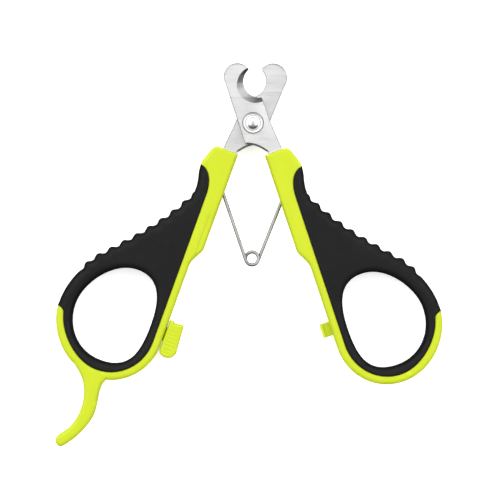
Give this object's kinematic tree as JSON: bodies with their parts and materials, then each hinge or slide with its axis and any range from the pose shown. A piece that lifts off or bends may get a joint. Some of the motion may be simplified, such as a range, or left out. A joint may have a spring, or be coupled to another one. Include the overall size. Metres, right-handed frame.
{
  "type": "scissor nail clipper",
  "caption": "Scissor-action pet nail clipper: notched steel blades on a rivet, soft-grip ring handles, return spring, sliding lock and finger rest.",
  "frame": {"origin": "on the pivot axis, at the flat rear end of the rivet", "axes": "+Z along the pivot axis to the front face; +Y from the pivot towards the blade tips, along the middle of the open clipper; +X to the right seen from the front"},
  "size_m": [0.1281, 0.1271, 0.01],
  "materials": {
    "blade_steel": "satin ground",
    "rivet_steel": "polished",
    "spring_steel": "drawn wire",
    "lime_plastic": "satin moulded",
    "black_tpr": "matte moulded"
  },
  "bodies": {
    "left_half": {"rear_blade": "blade_steel", "left_core": "lime_plastic", "left_grip": "black_tpr", "pivot_rivet": "rivet_steel", "pivot_washer_front": "rivet_steel", "pivot_washer_rear": "rivet_steel", "pivot_rear_cap": "rivet_steel"},
    "right_half": {"front_blade": "blade_steel", "right_core": "lime_plastic", "right_grip": "black_tpr"},
    "spring_left": {"spring_left_arm": "spring_steel"},
    "spring_right": {"spring_right_arm": "spring_steel"},
    "lock": {"lock_slider": "lime_plastic"}
  },
  "joints": [
    {"name": "handle_pivot", "type": "hinge", "parent": "left_half", "child": "right_half", "pos_m": [0, 0, 0], "axis": [0, 0, -1], "range_deg": [0, 38.3], "stiffness_Nm_per_rad": 0.35, "springref_deg": -20.05},
    {"name": "spring_left_swing", "type": "hinge", "parent": "left_half", "child": "spring_left", "pos_m": [-0.01071, -0.02107, 0], "axis": [0, 0, -1], "range_deg": [0, 38.3]},
    {"name": "spring_coil_flex", "type": "hinge", "parent": "spring_left", "child": "spring_right", "pos_m": [-0.00034, -0.04497, 0], "axis": [0, 0, 1], "range_deg": [0, 38.3]},
    {"name": "lock_slide", "type": "slide", "parent": "left_half", "child": "lock", "axis": [0.3404, 0.9403, 0], "range_m": [0, 0.0045]}
  ],
  "couplings": [
    {"joint": "spring_left_swing", "follows": "handle_pivot", "ratio": 1},
    {"joint": "spring_coil_flex", "follows": "handle_pivot", "ratio": 1}
  ]
}
